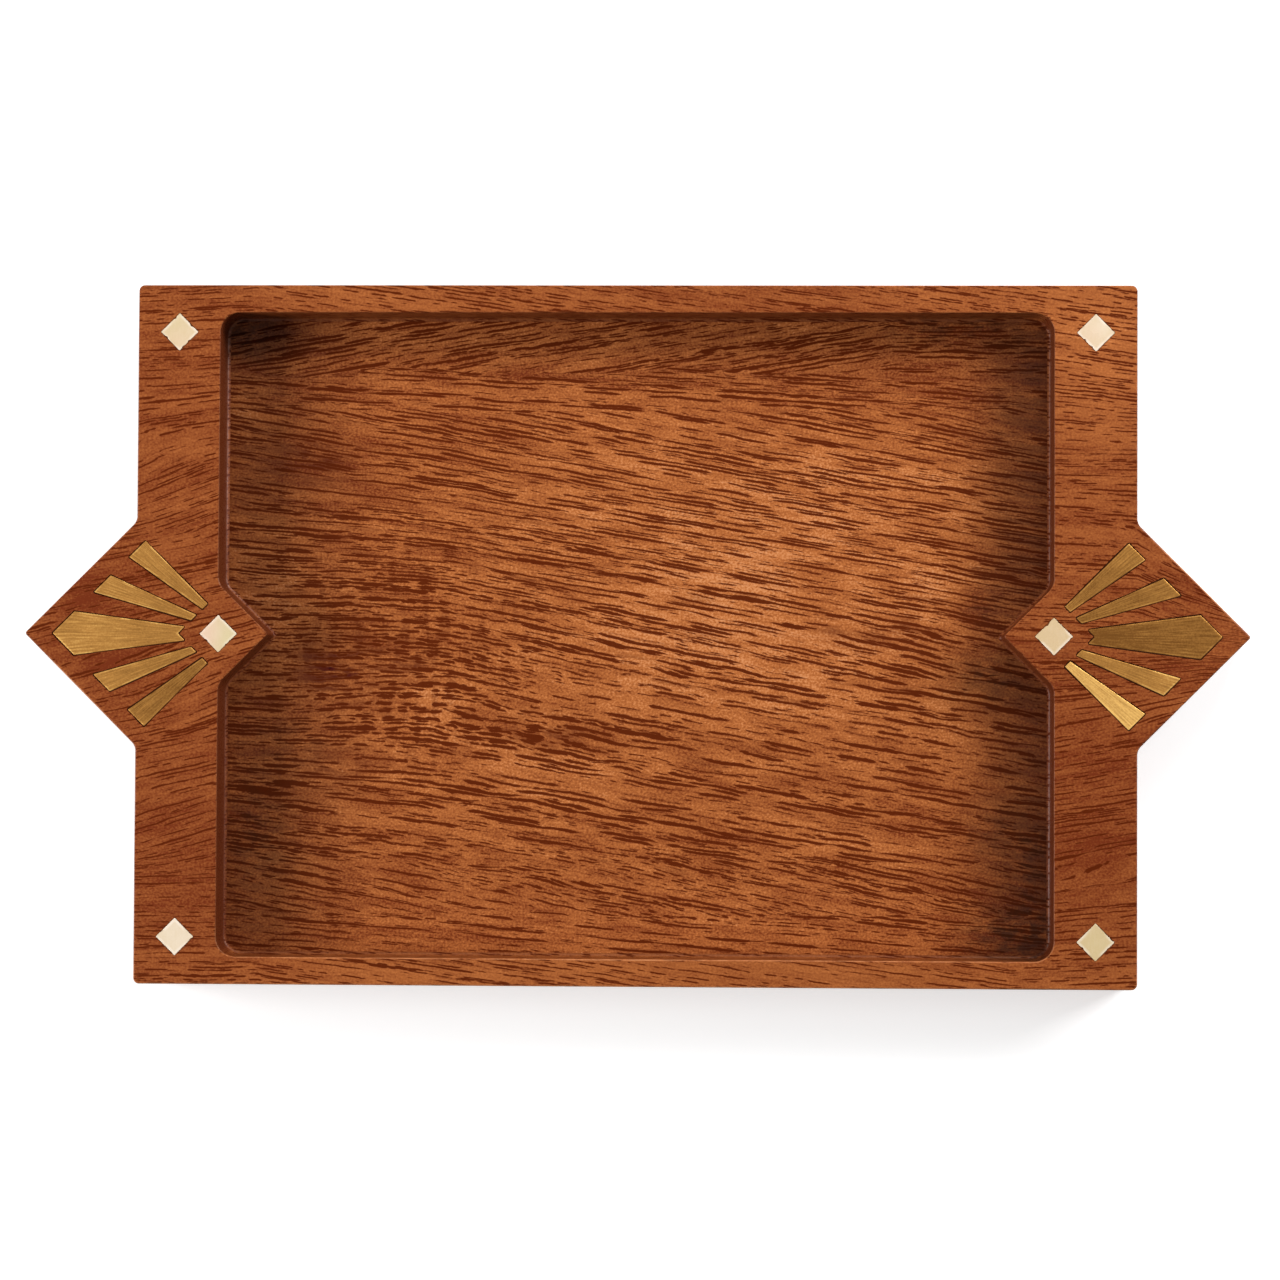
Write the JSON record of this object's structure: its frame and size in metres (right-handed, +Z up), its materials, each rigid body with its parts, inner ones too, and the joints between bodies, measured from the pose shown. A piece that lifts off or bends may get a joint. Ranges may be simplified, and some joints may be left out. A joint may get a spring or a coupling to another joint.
{
  "type": "serving tray",
  "caption": "Shallow rectangular serving tray cut from one hardwood slab, with a pointed handle at each end and brass and mother-of-pearl inlays in its rim.",
  "frame": {"origin": "centre of the tray's underside", "axes": "+X along the tray's length from handle to handle, +Y across it, +Z up out of the pocket"},
  "size_m": [0.3106, 0.178, 0.019],
  "materials": {
    "hardwood": "oiled to a soft satin, dark open pores along the grain",
    "brass": "flat, finely brushed",
    "pearl": "polished mother-of-pearl, cream with a faint pink and green sheen"
  },
  "bodies": {
    "root": {"tray_body": "hardwood", "left_centre_ray": "brass", "left_back_middle_ray": "brass", "left_front_middle_ray": "brass", "left_back_outer_ray": "brass", "left_front_outer_ray": "brass", "right_centre_ray": "brass", "right_back_middle_ray": "brass", "right_front_middle_ray": "brass", "right_back_outer_ray": "brass", "right_front_outer_ray": "brass", "left_handle_pearl": "pearl", "right_handle_pearl": "pearl", "left_back_corner_pearl": "pearl", "left_front_corner_pearl": "pearl", "right_back_corner_pearl": "pearl", "right_front_corner_pearl": "pearl"}
  },
  "joints": []
}
